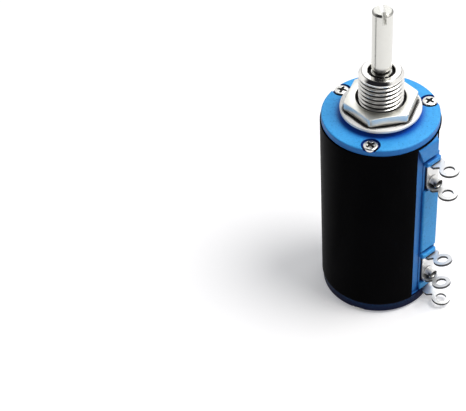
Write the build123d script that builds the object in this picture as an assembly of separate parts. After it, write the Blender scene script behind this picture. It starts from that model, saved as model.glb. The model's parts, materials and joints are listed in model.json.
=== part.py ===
from build123d import *
import math
import os

# Multiturn potentiometer, millimetres. The shaft points up (+Z).
# The origin is the centre of the rear face, on the shaft axis.
# Azimuth 0 is +X, and it grows counter-clockwise seen from the shaft end.

# Body
body_length = 46.2
tube_bore_radius = 9.0
tube_wall = 2.4
cap_overhang = 0.35
cap_rim = 1.43
cap_edge_round = 0.28
rear_rim = 1.2
rear_skirt = 1.6
skirt_clearance = 0.04
rear_chamfer = 0.7
spigot_length = 1.6
spigot_wall = 1.3
spigot_clearance = 0.05
sleeve_wall = 0.55
sleeve_clearance = 0.05
sleeve_end_clearance = 0.08
window_start = -51.8
window_end = 10.0

# Terminal rail on the side of the tube. Its face is flat and square to rail_azimuth.
# Places across it run from the plane through the axis. It stands on the tube's radius.
rail_azimuth = -45.0
rail_stand = 0.2
rail_start = 1.2
rail_end = 5.4
rail_foot_gap = 0.1
rail_root_depth = 1.8
rail_seam = 0.45
rail_corner_round = 0.3
channel_depth = 0.5
channel_margin = 0.2
block_stand = 0.55
block_height = 4.45
block_tip = -1.3
block_foot = 0.45
block_end = 4.2
block_round = 0.7
lip_height = 1.1
lip_stand = 0.6
lip_end = 4.9
lip_round = 0.25
groove_width = 0.45
groove_depth = 0.45
front_notch_height = 7.02
rear_foot_height = 1.8
rear_notch_height = 7.92
notch_depth = 0.4
pocket_depth = 0.8
pocket_start = 1.6

# Lugs and their rivets
metal_sheet = 0.5
lug_clearance = 0.06
lug_centre = 3.8
lug_root_width = 3.2
lug_neck_width = 1.5
lug_shoulder = 1.3
lug_taper = 0.7
lug_ring_radius = 1.95
lug_hole_radius = 1.1
lug_reach = 4.05
lug_bend_round = 0.5
root_hole_radius = 0.45
root_hole_margin = 0.24
front_leg_tilt = 4.0
rear_leg_tilt = 14.0
wiper_inner_gap = 0.2
rivet_radius = 0.6
rivet_bore_radius = 0.55
rivet_bore_depth = 1.9
rivet_head_radius = 0.95
rivet_head_height = 0.25
rivet_barrel_radius = 0.85
rivet_barrel_height = 2.0
rivet_drop = 1.3
rivet_clearance = 0.04

# Bushing, washer and nut
flange_radius = 6.6
flange_height = 1.15
thread_radius = 4.45
thread_end_chamfer = 0.6
thread_clearance = 0.05
bushing_length = 10.45
bushing_seat_radius = 5.2
press_clearance = 0.02
bushing_mouth_radius = 2.5
bushing_mouth_depth = 1.2
washer_radius = 8.1
washer_height = 0.6
washer_clearance = 0.1
washer_edge_round = 0.15
nut_sides = 6
nut_across_flats = 13.0
nut_height = 2.0
nut_gap = 0.1
nut_corner_azimuth = 14.0
nut_chamfer_drop = 0.35

# Screws, three in each cap
screw_head_radius = 1.5
screw_head_height = 0.75
screw_head_round = 0.4
screw_radius = 0.65
screw_length = 5.0
screw_hole_clearance = 0.03
recess_clearance = 0.42
front_recess_depth = 0.6
rear_recess_depth = 0.85
cross_length = 1.7
cross_width = 0.38
cross_depth = 0.4
front_screw_azimuths = (-100.0, 20.0, 140.0)
rear_screw_azimuths = (-110.0, 10.0, 130.0)

# Shaft and rotor
shaft_radius = 2.0
shaft_fit = 0.03
shaft_stand = 24.4
shaft_chamfer = 0.35
slot_width = 0.8
slot_depth = 2.0
slot_azimuth = -80.0
relief_depth = 0.25
relief_height = 1.05
relief_sink = 0.3
shaft_tail = 1.0
tail_gap = 0.2
hub_margin = 0.76
front_hub_height = 2.4
front_hub_gap = 2.2
rear_hub_height = 1.7
rear_hub_gap = 1.6
hub_boss_radius = 3.3
rod_radius = 0.8
rod_fit = 0.05
rod_circle = 5.2
rod_spread = 60.0
collector_radius = 0.5
collector_circle = 4.6
ring_radius = 3.0
ring_height = 0.5
ring_groove_depth = 0.4
ring_gap_angle = 70.0
thrust_radius = 3.6
thrust_height = 0.4
running_gap = 0.05

# Winding and carriage
turns = 10
winding_width = 1.1
winding_depth = 0.8
winding_gap = 0.04
winding_overrun = 18.0
carriage_height = 4.2
carriage_margin = 1.56
carriage_inner = 2.5
carriage_half_angle = 78.0
fork_azimuth = 35.0
fork_half_angle = 4.0
fork_margin = 0.26
fork_slack = 0.2
fork_tooth = 0.9
stop_angle = 8.0
stop_gap_angle = 5.0
stop_height = 0.7
stop_depth = 1.1
contact_radius = 0.4
contact_base_height = 2.4
contact_base_half_angle = 16.0
collector_spring_height = 1.6
spring_sheet = 0.25
slip_ring_outer = 6.4
slip_ring_inner = 4.2
slip_ring_height = 0.8
bearing_radius = 3.2
bearing_flange_radius = 3.9
bearing_flange_height = 0.5
boss_wall = 1.2
brush_width = 1.6
brush_tab = 1.5
brush_run = 1.3
brush_toe = 0.8

# Levels and places that follow from the values above
tube_radius = tube_bore_radius + tube_wall
cap_radius = tube_radius + cap_overhang
sleeve_radius = tube_radius + sleeve_clearance + sleeve_wall
screw_circle = tube_bore_radius + tube_wall / 2
rail_face = tube_radius + rail_stand
rail_root = tube_radius - rail_root_depth
channel_radius = tube_radius - channel_depth
block_face = tube_radius + block_stand
notch_floor = tube_radius - notch_depth
pocket_floor = tube_radius - pocket_depth
shoulder_reach = tube_radius + lug_shoulder
neck_reach = shoulder_reach + lug_taper
eye_reach = tube_radius + lug_reach
front_seat = body_length - cap_rim
spigot_end = front_seat - spigot_length
rear_spigot_end = rear_rim + spigot_length
rear_skirt_top = rear_rim + rear_skirt
rail_bottom = rear_skirt_top + rail_foot_gap
rail_top = front_seat - rail_seam
block_bottom = rail_top - block_height
rear_notch_low = rail_bottom + rear_foot_height
rear_notch_high = rear_notch_low + rear_notch_height
rear_lip_top = rear_notch_high + lip_height
front_lip_top = block_bottom - groove_width
front_notch_high = front_lip_top - lip_height
front_notch_low = front_notch_high - front_notch_height
front_notch_middle = (front_notch_low + front_notch_high) / 2
rear_notch_middle = (rear_notch_low + rear_notch_high) / 2
front_rivet_level = front_notch_middle - rivet_drop
rear_rivet_level = rear_notch_middle - rivet_drop
plate_bottom = pocket_floor + lug_clearance
plate_top = plate_bottom + metal_sheet
root_hole_reach = plate_top + lug_bend_round + root_hole_radius + root_hole_margin
wiper_inner_end = bearing_radius + boss_wall + wiper_inner_gap
wiper_low = rear_rim + lug_clearance
wiper_high = wiper_low + metal_sheet
flange_top = body_length + flange_height
washer_top = flange_top + washer_height
nut_bottom = washer_top + nut_gap
bushing_top = body_length + bushing_length
shaft_top = body_length + shaft_stand
bearing_top = rear_spigot_end + bearing_flange_height
rear_hub_low = rear_spigot_end + rear_hub_gap
rear_hub_high = rear_hub_low + rear_hub_height
front_hub_high = spigot_end - front_hub_gap
front_hub_low = front_hub_high - front_hub_height
slip_ring_low = rear_hub_low - slip_ring_height
thrust_high = spigot_end - running_gap
ring_high = thrust_high - thrust_height - running_gap
travel = front_notch_middle - rear_notch_middle
travel_middle = (front_notch_middle + rear_notch_middle) / 2
lead = travel / turns
winding_outer = tube_bore_radius - winding_gap
winding_inner = winding_outer - winding_depth
hub_radius = winding_inner - hub_margin
carriage_outer = winding_inner - carriage_margin
fork_reach = winding_outer - fork_margin
contact_azimuth = rail_azimuth + math.degrees(math.asin(lug_centre / tube_bore_radius))

rail_angle = math.radians(rail_azimuth)
rail_out = (math.cos(rail_angle), math.sin(rail_angle), 0)
rail_across = (-math.sin(rail_angle), math.cos(rail_angle), 0)
rail_plane = Plane(origin=(0, 0, 0), x_dir=rail_across, z_dir=rail_out)


def disc(radius, low, high):
    """A round bar about the axis, between two levels."""
    return Pos(0, 0, low) * extrude(Circle(radius), high - low)


def ring(outer, inner, low, high):
    """A round wall about the axis, between two levels."""
    return disc(outer, low, high) - disc(inner, low, high)


def at(radius, azimuth, level=0):
    """A place at a radius, an azimuth and a level."""
    angle = math.radians(azimuth)
    return Pos(radius * math.cos(angle), radius * math.sin(angle), level)


def wedge(start, end, low, high, reach=40):
    """A pie slice about the axis, from one azimuth to another."""
    corners = [(0, 0)]
    steps = 4
    for step in range(steps + 1):
        angle = math.radians(start + (end - start) * step / steps)
        corners.append((reach * math.cos(angle), reach * math.sin(angle)))
    slice_face = make_face(Polyline(*corners, close=True))
    return Pos(0, 0, low) * extrude(slice_face, high - low)


def rail_box(start, end, low, high, inner, outer):
    """A block in the rail's frame: across it, along the axis, and outwards."""
    centre = Pos((start + end) / 2, (low + high) / 2, (inner + outer) / 2)
    return rail_plane * centre * Box(end - start, high - low, outer - inner)


def rail_bar(start, end, low, high, inner, outer, rounding):
    """A rail block whose outer edges are rounded."""
    bar = rail_box(start, end, low, high, inner, outer)
    outer_face = bar.faces().sort_by(Axis((0, 0, 0), rail_out))[-1]
    return fillet(outer_face.edges(), rounding)


def rail_pin(radius, level, inner, outer):
    """A round bar that points out of the rail at the lugs' centre line."""
    return rail_plane * Pos(lug_centre, level, inner) * extrude(Circle(radius), outer - inner)


def screw_cuts(azimuths, face, inward, recess_depth):
    """Head recesses that open at the rim, and screw holes below them."""
    hole_depth = recess_depth + screw_length
    cuts = []
    for azimuth in azimuths:
        recess = extrude(Circle(screw_head_radius + recess_clearance), inward * recess_depth)
        hole = extrude(Circle(screw_radius + screw_hole_clearance), inward * hole_depth)
        cuts.append(at(screw_circle, azimuth, face) * (recess + hole))
    return cuts


def front_cap():
    cap = disc(cap_radius, front_seat, body_length)
    cap = fillet(cap.edges().sort_by(Axis.Z)[-1], cap_edge_round)
    spigot_radius = tube_bore_radius - spigot_clearance
    cap += ring(spigot_radius, spigot_radius - spigot_wall, spigot_end, front_seat)
    cap += disc(bushing_seat_radius + boss_wall, spigot_end, front_seat)
    cap -= disc(bushing_seat_radius, spigot_end, body_length)
    cap -= screw_cuts(front_screw_azimuths, body_length, -1, front_recess_depth)
    return cap


def rear_cap():
    cap = disc(cap_radius, 0, rear_rim)
    cap = chamfer(cap.edges().sort_by(Axis.Z)[0], rear_chamfer)
    cap += ring(cap_radius, tube_radius + skirt_clearance, rear_rim, rear_skirt_top)
    spigot_radius = tube_bore_radius - spigot_clearance
    cap += ring(spigot_radius, spigot_radius - spigot_wall, rear_rim, rear_spigot_end)
    cap += disc(bearing_radius + boss_wall, rear_rim, rear_spigot_end)
    cap -= disc(bearing_radius, shaft_tail - tail_gap, rear_spigot_end)
    cap -= screw_cuts(rear_screw_azimuths, 0, 1, rear_recess_depth)
    half = lug_root_width / 2 + lug_clearance
    inner = wiper_inner_end - lug_clearance
    high = max(rear_spigot_end, rear_skirt_top)
    cap -= rail_box(lug_centre - half, lug_centre + half, rear_rim, high, inner, cap_radius)
    return cap


def top_block():
    """The widest block of the rail, with a slanted left side."""
    outline = Polyline(
        (block_foot, block_bottom),
        (block_end, block_bottom),
        (block_end, rail_top),
        (block_tip, rail_top),
        close=True,
    )
    block = rail_plane * Pos(0, 0, rail_root) * extrude(make_face(outline), block_face - rail_root)
    outer_face = block.faces().sort_by(Axis((0, 0, 0), rail_out))[-1]
    level_edges = outer_face.edges().sort_by(Axis.Z)
    return fillet([level_edges[0], level_edges[-1]], block_round)


def rail():
    """Blocks, lips and the land between them, before the notches are cut."""
    core = rail_face - groove_depth
    lip_face = rail_face + lip_stand
    rail_parts = rail_box(rail_start, rail_end, rail_bottom, block_bottom, rail_root, core)
    rail_parts += top_block()
    lands = [
        (rail_bottom, rear_notch_high),
        (rear_lip_top + groove_width, front_notch_high),
    ]
    for low, high in lands:
        rail_parts += rail_bar(rail_start, rail_end, low, high, rail_root, rail_face, rail_corner_round)
    for low, high in [(rear_notch_high, rear_lip_top), (front_notch_high, front_lip_top)]:
        rail_parts += rail_bar(rail_start, lip_end, low, high, rail_root, lip_face, lip_round)
    return rail_parts


def travel_stops():
    """Two ribs in the bore, which the carriage's fork meets past either end."""
    inner = tube_bore_radius - stop_depth
    fork_level = fork_azimuth / 360 * lead
    tooth_middle = winding_width / 2 + fork_slack + fork_tooth / 2
    stops = []
    for end in (1, -1):
        level = travel_middle + end * (travel / 2 + tooth_middle) + fork_level
        near = contact_azimuth + fork_azimuth + end * (fork_half_angle + stop_gap_angle)
        far = near + end * stop_angle
        low = level - stop_height / 2
        high = level + stop_height / 2
        wall = ring(tube_bore_radius + spigot_clearance, inner, low, high)
        stops.append(wall & wedge(min(near, far), max(near, far), low, high))
    return stops


def housing_tube():
    body = ring(tube_radius, tube_bore_radius, rear_rim, front_seat)
    land_azimuth = rail_azimuth + math.degrees(math.asin((rail_start + rail_corner_round) / tube_radius))
    low = rail_bottom - channel_margin
    high = rail_top + channel_margin
    channel = ring(sleeve_radius, channel_radius, low, high)
    body -= channel & wedge(window_start, land_azimuth, low, high)
    body += rail()
    far = sleeve_radius
    for low, high in [(rear_notch_low, rear_notch_high), (front_notch_low, front_notch_high)]:
        body -= rail_box(rail_start - rail_corner_round, far, low, high, notch_floor, far + lip_stand)
        body -= rail_box(pocket_start, far, low, high, pocket_floor, far + lip_stand)
    for level in (front_rivet_level, rear_rivet_level):
        body -= rail_pin(rivet_radius + rivet_clearance, level, rail_root / 2, pocket_floor)
    half = lug_root_width / 2 + lug_clearance
    slot_top = wiper_high + lug_clearance
    body -= rail_box(lug_centre - half, lug_centre + half, rear_rim, slot_top, tube_bore_radius / 2, far)
    for azimuth in front_screw_azimuths:
        depth = front_recess_depth + screw_length - cap_rim
        body -= at(screw_circle, azimuth, front_seat - depth) * extrude(
            Circle(screw_radius + screw_hole_clearance), depth
        )
    for azimuth in rear_screw_azimuths:
        depth = rear_recess_depth + screw_length - rear_rim
        body -= at(screw_circle, azimuth, rear_rim) * extrude(
            Circle(screw_radius + screw_hole_clearance), depth
        )
    body += travel_stops()
    return body


def outer_sleeve():
    low = rear_skirt_top + sleeve_end_clearance
    high = front_seat - sleeve_end_clearance
    sleeve = ring(sleeve_radius, tube_radius + sleeve_clearance, low, high)
    window_high = rail_top + lug_clearance / 2
    sleeve -= wedge(window_start, window_end, low, window_high)
    return sleeve


def threaded_bushing():
    seat = disc(bushing_seat_radius - press_clearance, spigot_end, body_length)
    flange = disc(flange_radius, body_length, flange_top)
    thread = disc(thread_radius, flange_top, bushing_top)
    thread = chamfer(thread.edges().sort_by(Axis.Z)[-1], thread_end_chamfer)
    bushing = seat + flange + thread
    bushing -= disc(shaft_radius + shaft_fit, spigot_end, bushing_top)
    bushing -= disc(bushing_mouth_radius, bushing_top - bushing_mouth_depth, bushing_top)
    return bushing


def cross_screw():
    """A pan-head screw that points down, with the underside of its head at the origin."""
    head = extrude(Circle(screw_head_radius), screw_head_height)
    head = fillet(head.edges().sort_by(Axis.Z)[-1], screw_head_round)
    shank = extrude(Circle(screw_radius), -screw_length)
    shank = chamfer(shank.edges().sort_by(Axis.Z)[0], screw_radius / 2)
    arm = Pos(0, 0, screw_head_height - cross_depth / 2)
    cross = arm * Box(cross_length, cross_width, cross_depth)
    cross += arm * Box(cross_width, cross_length, cross_depth)
    return head + shank - cross


def front_cap_screws():
    level = body_length - front_recess_depth
    screws = []
    for azimuth in front_screw_azimuths:
        screws.append(at(screw_circle, azimuth, level) * Rot(0, 0, azimuth + 20) * cross_screw())
    return screws


def rear_cap_screws():
    screws = []
    for azimuth in rear_screw_azimuths:
        screws.append(at(screw_circle, azimuth, rear_recess_depth) * Rot(180, 0, azimuth) * cross_screw())
    return screws


def lug_outline(start):
    """A flat lug from its root to its eye, drawn outwards and across."""
    root = Pos((start + shoulder_reach) / 2, lug_centre)
    root *= Rectangle(shoulder_reach - start, lug_root_width)
    half_root = lug_root_width / 2
    half_neck = lug_neck_width / 2
    taper = Polyline(
        (shoulder_reach, lug_centre - half_root),
        (neck_reach, lug_centre - half_neck),
        (eye_reach, lug_centre - half_neck),
        (eye_reach, lug_centre + half_neck),
        (neck_reach, lug_centre + half_neck),
        (shoulder_reach, lug_centre + half_root),
        close=True,
    )
    eye = Pos(eye_reach, lug_centre)
    return root + make_face(taper) + eye * Circle(lug_ring_radius) - eye * Circle(lug_hole_radius)


def leg(level, tilt, with_root_hole):
    """One leg of a terminal, tilted towards the shaft end about its root."""
    outline = lug_outline(plate_top - metal_sheet / 2)
    if with_root_hole:
        outline -= Pos(root_hole_reach, lug_centre) * Circle(root_hole_radius)
    flat = extrude(outline, metal_sheet)
    root = Pos(plate_top, 0, 0)
    tilted = root * Rot(0, -tilt, 0) * root.inverse() * flat
    return Plane(origin=(0, 0, level), x_dir=rail_out, z_dir=(0, 0, 1)) * tilted


def inner_bends(plate, low, high):
    """The two edges inside the U, where the legs leave the plate."""
    bends = []
    outward = Vector(*rail_out)
    for edge in plate.edges().filter_by(Axis((0, 0, 0), rail_across)):
        centre = edge.center()
        inside = low + metal_sheet / 2 < centre.Z < high - metal_sheet / 2
        if inside and plate_top - metal_sheet / 4 < centre.dot(outward) < plate_top + metal_sheet / 4:
            bends.append(edge)
    return bends


def double_terminal(low, high, tilt, rivet_level):
    """A sheet bent to a U: a plate in the pocket and two legs with eyes."""
    half = lug_root_width / 2
    rise = (rail_face + lip_stand - plate_bottom) * math.tan(math.radians(tilt))
    lower = low + lug_clearance + metal_sheet * math.tan(math.radians(tilt))
    upper = high - lug_clearance - metal_sheet - rise
    plate = rail_box(
        lug_centre - half, lug_centre + half, lower, upper + metal_sheet, plate_bottom, plate_top
    )
    plate += leg(lower, tilt, True)
    plate += leg(upper, tilt, False)
    plate = fillet(inner_bends(plate, lower, upper + metal_sheet), lug_bend_round)
    plate -= rail_pin(rivet_radius + rivet_clearance, rivet_level, rail_root, plate_top)
    return plate


def front_terminal():
    return double_terminal(front_notch_low, front_notch_high, front_leg_tilt, front_rivet_level)


def rear_terminal():
    return double_terminal(rear_notch_low, rear_notch_high, rear_leg_tilt, rear_rivet_level)


def wiper_terminal():
    outline = lug_outline(wiper_inner_end)
    plate = Plane(origin=(0, 0, wiper_low), x_dir=rail_out, z_dir=(0, 0, 1))
    return plate * extrude(outline, metal_sheet)


def terminal_rivets():
    rivets = []
    nearest = lug_centre - rivet_radius
    inner = math.sqrt(tube_bore_radius**2 - nearest**2) + rivet_clearance
    for level in (front_rivet_level, rear_rivet_level):
        head_top = plate_top + rivet_head_height
        barrel_top = head_top + rivet_barrel_height
        rivet = rail_pin(rivet_radius, level, inner, plate_top)
        rivet += rail_pin(rivet_head_radius, level, plate_top, head_top)
        rivet += rail_pin(rivet_barrel_radius, level, head_top, barrel_top)
        rivet -= rail_pin(rivet_bore_radius, level, barrel_top - rivet_bore_depth, barrel_top)
        rivets.append(rivet)
    return rivets


def wiper_brush():
    """A leaf that rises from the wiper terminal's plate to the slip ring."""
    base = wiper_high + lug_clearance / 2
    top = slip_ring_low - running_gap
    tab_end = wiper_inner_end + brush_tab
    foot = wiper_inner_end
    toe = foot - brush_run
    tip = toe - brush_toe
    outline = Polyline(
        (tab_end, base),
        (foot, base),
        (toe, top - spring_sheet),
        (tip, top - spring_sheet),
        (tip, top),
        (toe, top),
        (foot, base + spring_sheet),
        (tab_end, base + spring_sheet),
        close=True,
    )
    side = Plane(
        origin=tuple((lug_centre + brush_width / 2) * part for part in rail_across),
        x_dir=rail_out,
        z_dir=tuple(-part for part in rail_across),
    )
    return side * extrude(make_face(outline), brush_width)


def rear_bearing():
    low = shaft_tail - tail_gap
    bush = disc(bearing_radius - press_clearance, low, rear_spigot_end)
    bush += disc(bearing_flange_radius, rear_spigot_end, bearing_top)
    return bush - disc(shaft_radius + shaft_fit, low, bearing_top)


def mounting_washer():
    washer = ring(washer_radius, thread_radius + washer_clearance, flange_top, washer_top)
    rim = washer.edges().group_by(SortBy.LENGTH)[-1]
    return fillet(rim, washer_edge_round)


def mounting_nut():
    flat = nut_across_flats / 2
    corner_radius = flat / math.cos(math.pi / nut_sides)
    outline = RegularPolygon(corner_radius, nut_sides, rotation=nut_corner_azimuth)
    nut = Pos(0, 0, nut_bottom) * extrude(outline, nut_height)
    half = nut_height / 2
    turned = Polyline(
        (0, -half),
        (flat, -half),
        (corner_radius, nut_chamfer_drop - half),
        (corner_radius, half - nut_chamfer_drop),
        (flat, half),
        (0, half),
        close=True,
    )
    blank = revolve(Plane.XZ * make_face(turned), Axis.Z)
    nut &= Pos(0, 0, nut_bottom + half) * blank
    return nut - disc(thread_radius + thread_clearance, nut_bottom, nut_bottom + nut_height)


def shaft():
    bar = disc(shaft_radius, shaft_tail, shaft_top)
    bar = chamfer(bar.edges().group_by(Axis.Z)[-1], shaft_chamfer)
    beyond = 2 * shaft_radius
    bar -= ring(beyond, shaft_radius - ring_groove_depth, ring_high - ring_height, ring_high)
    relief_low = bushing_top - relief_sink
    bar -= ring(beyond, shaft_radius - relief_depth, relief_low, relief_low + relief_height)
    slot = Rot(0, 0, slot_azimuth) * Box(2 * beyond, slot_width, slot_depth)
    return bar - Pos(0, 0, shaft_top - slot_depth / 2) * slot


def rod_places():
    """The two guide rods and the collector rod: circle, azimuth and radius."""
    return [
        (rod_circle, contact_azimuth + rod_spread, rod_radius),
        (rod_circle, contact_azimuth - rod_spread, rod_radius),
        (collector_circle, contact_azimuth + 180, collector_radius),
    ]


def hub(low, high):
    body = disc(hub_radius, low, high) - disc(shaft_radius + press_clearance, low, high)
    for circle, azimuth, radius in rod_places():
        body -= at(circle, azimuth, low) * extrude(Circle(radius + press_clearance), high - low)
    return body


def front_hub():
    return hub(front_hub_low, front_hub_high)


def rear_hub():
    boss = ring(hub_boss_radius, shaft_radius + press_clearance, bearing_top + running_gap, rear_hub_low)
    return hub(rear_hub_low, rear_hub_high) + boss


def rod(place):
    circle, azimuth, radius = place
    return at(circle, azimuth, rear_hub_low) * extrude(Circle(radius), front_hub_high - rear_hub_low)


def guide_rods():
    return [rod(place) for place in rod_places()[:2]]


def collector_rod():
    return rod(rod_places()[2])


def slip_ring():
    return ring(slip_ring_outer, slip_ring_inner, slip_ring_low, rear_hub_low)


def retaining_ring():
    low = ring_high - ring_height + running_gap / 2
    high = ring_high - running_gap / 2
    clip = ring(ring_radius, shaft_radius - ring_groove_depth + press_clearance, low, high)
    return clip - wedge(contact_azimuth, contact_azimuth + ring_gap_angle, low, high)


def thrust_washer():
    return ring(thrust_radius, shaft_radius + shaft_fit, thrust_high - thrust_height, thrust_high)


def resistance_element():
    """The wound mandrel: a right-handed helix against the wall of the bore."""
    sweep_angle = turns * 360 + 2 * winding_overrun
    height = sweep_angle / 360 * lead
    path = Helix(pitch=lead, height=height, radius=(winding_outer + winding_inner) / 2)
    start = Plane(origin=path @ 0, x_dir=(1, 0, 0), z_dir=path % 0)
    coil = sweep(start * Rectangle(winding_depth, winding_width), path=path, is_frenet=True)
    first_azimuth = contact_azimuth - winding_overrun
    return Pos(0, 0, travel_middle - height / 2) * Rot(0, 0, first_azimuth) * coil


def wiper_carriage():
    low = travel_middle - carriage_height / 2
    high = travel_middle + carriage_height / 2
    half = carriage_half_angle
    block = ring(carriage_outer, carriage_inner, low, high)
    block &= wedge(contact_azimuth - half, contact_azimuth + half, low, high)
    for circle, azimuth, radius in rod_places()[:2]:
        block -= at(circle, azimuth, low) * extrude(Circle(radius + rod_fit), carriage_height)
    fork_level = travel_middle + fork_azimuth / 360 * lead
    inner = winding_width / 2 + fork_slack
    first = contact_azimuth + fork_azimuth - fork_half_angle
    last = contact_azimuth + fork_azimuth + fork_half_angle
    for start in (inner, -inner - fork_tooth):
        base = fork_level + start
        tooth = ring(fork_reach, carriage_outer - spring_sheet, base, base + fork_tooth)
        block += tooth & wedge(first, last, base, base + fork_tooth)
    return block


def wiper_contact():
    """A curved base on the carriage, with a rounded pin that meets the winding."""
    low = travel_middle - contact_base_height / 2
    high = travel_middle + contact_base_height / 2
    inner = carriage_outer + press_clearance
    half = contact_base_half_angle
    base = ring(inner + spring_sheet, inner, low, high)
    base &= wedge(contact_azimuth - half, contact_azimuth + half, low, high)
    tip = winding_inner - running_gap
    pin = extrude(Circle(contact_radius), tip - inner - spring_sheet / 2)
    pin = fillet(pin.edges().sort_by(Axis.Z)[-1], contact_radius * 0.9)
    angle = math.radians(contact_azimuth)
    outward = (math.cos(angle), math.sin(angle), 0)
    start = inner + spring_sheet / 2
    place = Plane(origin=(start * outward[0], start * outward[1], travel_middle), z_dir=outward)
    return base + place * pin


def collector_spring():
    """A curved leaf from the carriage's side to the collector rod."""
    low = travel_middle - collector_spring_height / 2
    high = travel_middle + collector_spring_height / 2
    outer = collector_circle - collector_radius - running_gap
    start = contact_azimuth + carriage_half_angle + 0.3
    end = contact_azimuth + 185
    leaf = ring(outer, outer - spring_sheet, low, high)
    return leaf & wedge(start, end, low, high)


shapes = {
    "front_cap": front_cap,
    "rear_cap": rear_cap,
    "housing_tube": housing_tube,
    "outer_sleeve": outer_sleeve,
    "threaded_bushing": threaded_bushing,
    "front_cap_screws": front_cap_screws,
    "rear_cap_screws": rear_cap_screws,
    "resistance_element": resistance_element,
    "front_terminal": front_terminal,
    "rear_terminal": rear_terminal,
    "wiper_terminal": wiper_terminal,
    "terminal_rivets": terminal_rivets,
    "wiper_brush": wiper_brush,
    "rear_bearing": rear_bearing,
    "mounting_washer": mounting_washer,
    "mounting_nut": mounting_nut,
    "shaft": shaft,
    "front_hub": front_hub,
    "rear_hub": rear_hub,
    "guide_rods": guide_rods,
    "collector_rod": collector_rod,
    "slip_ring": slip_ring,
    "retaining_ring": retaining_ring,
    "thrust_washer": thrust_washer,
    "wiper_carriage": wiper_carriage,
    "wiper_contact": wiper_contact,
    "collector_spring": collector_spring,
}

os.makedirs("parts", exist_ok=True)
for name, make in shapes.items():
    made = make()
    if isinstance(made, list):
        made = Compound(children=made)
    export_step(made, f"parts/{name}.step")
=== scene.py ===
import bpy
import bmesh
import json
import math
from mathutils import Matrix, Vector

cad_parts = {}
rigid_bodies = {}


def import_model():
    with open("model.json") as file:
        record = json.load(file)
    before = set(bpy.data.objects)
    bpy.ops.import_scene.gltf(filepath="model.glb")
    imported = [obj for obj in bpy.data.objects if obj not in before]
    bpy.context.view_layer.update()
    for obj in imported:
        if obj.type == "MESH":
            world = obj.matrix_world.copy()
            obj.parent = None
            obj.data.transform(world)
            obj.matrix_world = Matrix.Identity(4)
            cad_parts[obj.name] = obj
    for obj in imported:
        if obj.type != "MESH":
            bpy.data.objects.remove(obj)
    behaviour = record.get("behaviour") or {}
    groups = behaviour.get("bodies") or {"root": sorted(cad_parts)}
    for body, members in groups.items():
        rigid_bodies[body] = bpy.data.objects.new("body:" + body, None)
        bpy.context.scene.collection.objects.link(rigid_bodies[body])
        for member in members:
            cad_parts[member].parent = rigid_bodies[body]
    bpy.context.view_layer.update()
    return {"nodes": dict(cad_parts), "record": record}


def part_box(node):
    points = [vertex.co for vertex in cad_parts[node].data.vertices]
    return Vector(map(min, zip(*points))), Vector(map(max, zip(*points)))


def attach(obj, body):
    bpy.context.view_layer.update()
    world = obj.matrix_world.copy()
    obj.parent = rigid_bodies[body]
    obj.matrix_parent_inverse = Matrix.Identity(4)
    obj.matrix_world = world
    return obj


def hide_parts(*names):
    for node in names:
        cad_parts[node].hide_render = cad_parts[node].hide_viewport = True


# Multiturn potentiometer, standing on its rear cap.
# Sizes in the dictionaries are in millimetres and angles in degrees.
# A pair such as (11.0, 11.2) is where a soft mask starts and ends.

for leftover in list(bpy.data.objects):
    bpy.data.objects.remove(leftover)
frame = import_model()
cadNodes = frame["nodes"]
mm = 0.001
print("frame loaded:", len(cadNodes), "nodes")


class Wire:
    # a node's output that takes + - * / with numbers and with other outputs
    def __init__(self, web, socket):
        self.web = web
        self.socket = socket

    def do(self, operation, *others):
        return self.web.node("ShaderNodeMath", {"operation": operation}, [self, *others])

    def __add__(self, other):
        return self.do("ADD", other)

    def __sub__(self, other):
        return self.do("SUBTRACT", other)

    def __mul__(self, other):
        return self.do("MULTIPLY", other)

    def __truediv__(self, other):
        return self.do("DIVIDE", other)

    def __rsub__(self, other):
        return self.web.node("ShaderNodeMath", {"operation": "SUBTRACT"}, [other, self])

    __radd__ = __add__
    __rmul__ = __mul__

    def clamp(self):
        return self.web.node("ShaderNodeMath", {"operation": "ADD", "use_clamp": True}, [self, 0.0])

    def also(self, name):
        return Wire(self.web, self.socket.node.outputs[name])


class Web:
    # a node tree, for a material or for Geometry Nodes
    def __init__(self, tree):
        self.tree = tree

    def node(self, kind, settings=None, values=None, out=None):
        # settings come first; values go to the sockets by name or by order, as numbers, colours or links
        made = self.tree.nodes.new(kind)
        for name, value in (settings or {}).items():
            setattr(made, name, value)
        shown = [socket for socket in made.inputs if socket.enabled]
        pairs = values.items() if isinstance(values, dict) else enumerate(values or [])
        for key, value in pairs:
            socket = shown[key] if isinstance(key, int) else next(s for s in shown if s.name == key)
            if isinstance(value, Wire):
                self.tree.links.new(value.socket, socket)
            else:
                socket.default_value = (*value, 1) if socket.type == "RGBA" else value
        outputs = [socket for socket in made.outputs if socket.enabled]
        if not outputs:
            return made
        return Wire(self, made.outputs[out] if out else outputs[0])

    def vector(self, operation, *values, out=None):
        return self.node("ShaderNodeVectorMath", {"operation": operation}, list(values), out)

    def blendColour(self, factor, first, second):
        settings = {"data_type": "RGBA", "clamp_factor": True}
        return self.node("ShaderNodeMix", settings, {"Factor": factor, "A": first, "B": second})

    def split(self, vector):
        parts = self.node("ShaderNodeSeparateXYZ", None, [vector])
        return parts, parts.also("Y"), parts.also("Z")

    def smooth(self, value, low, high):
        settings = {"interpolation_type": "SMOOTHSTEP"}
        return self.node("ShaderNodeMapRange", settings, {"Value": value, "From Min": low, "From Max": high})

    def rise(self, value, start, band):
        # as smooth, with the band measured from a start
        return self.smooth(value, start + band[0], start + band[1])


probes = {"edgeSamples": 6, "edgeGain": 3.0, "creaseSamples": 8}


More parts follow.
